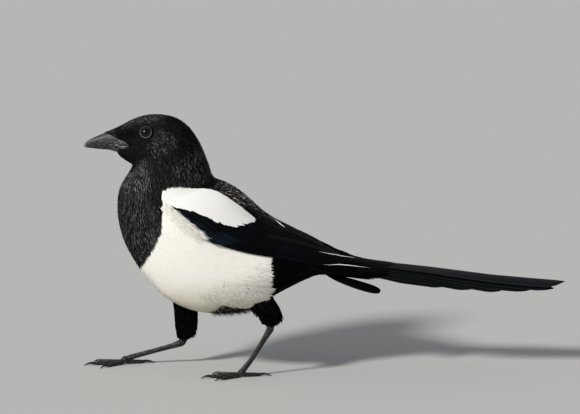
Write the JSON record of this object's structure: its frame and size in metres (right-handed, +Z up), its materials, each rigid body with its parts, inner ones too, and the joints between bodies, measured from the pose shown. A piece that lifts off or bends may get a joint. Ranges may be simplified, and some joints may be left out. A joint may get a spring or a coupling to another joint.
{
  "type": "eurasian magpie",
  "caption": "Life-size still model of a Eurasian magpie walking, with black and white plumage, folded wings and a long graduated tail.",
  "frame": {"origin": "centre of the bounding box's underside, on the floor between the feet", "axes": "+X towards the bill, along the bird's length; +Y to the bird's left; +Z up"},
  "size_m": [0.4208, 0.0864, 0.2291],
  "materials": {
    "black_feathers": "black feathers with a faint blue and green gloss on wings and tail",
    "white_feathers": "soft matt white feathers, slightly creamy below",
    "bill_horn": "blackish horn, satin, scuffed grey near its root",
    "eye": "wet, glossy, very dark brown",
    "leg_skin": "blackish scaled skin, satin",
    "claw_horn": "blackish horn, satin gloss"
  },
  "bodies": {
    "root": {"head": "black_feathers", "neck": "black_feathers", "torso": "white_feathers", "tail": "black_feathers", "wing_left": "black_feathers", "wing_right": "black_feathers", "bill_upper": "bill_horn", "bill_lower": "bill_horn", "eye_left": "eye", "eye_right": "eye", "thigh_left": "black_feathers", "shank_left": "leg_skin", "foot_left": "leg_skin", "claw_inner_left": "claw_horn", "claw_middle_left": "claw_horn", "claw_outer_left": "claw_horn", "claw_hind_left": "claw_horn", "thigh_right": "black_feathers", "shank_right": "leg_skin", "foot_right": "leg_skin", "claw_inner_right": "claw_horn", "claw_middle_right": "claw_horn", "claw_outer_right": "claw_horn", "claw_hind_right": "claw_horn"}
  },
  "joints": []
}
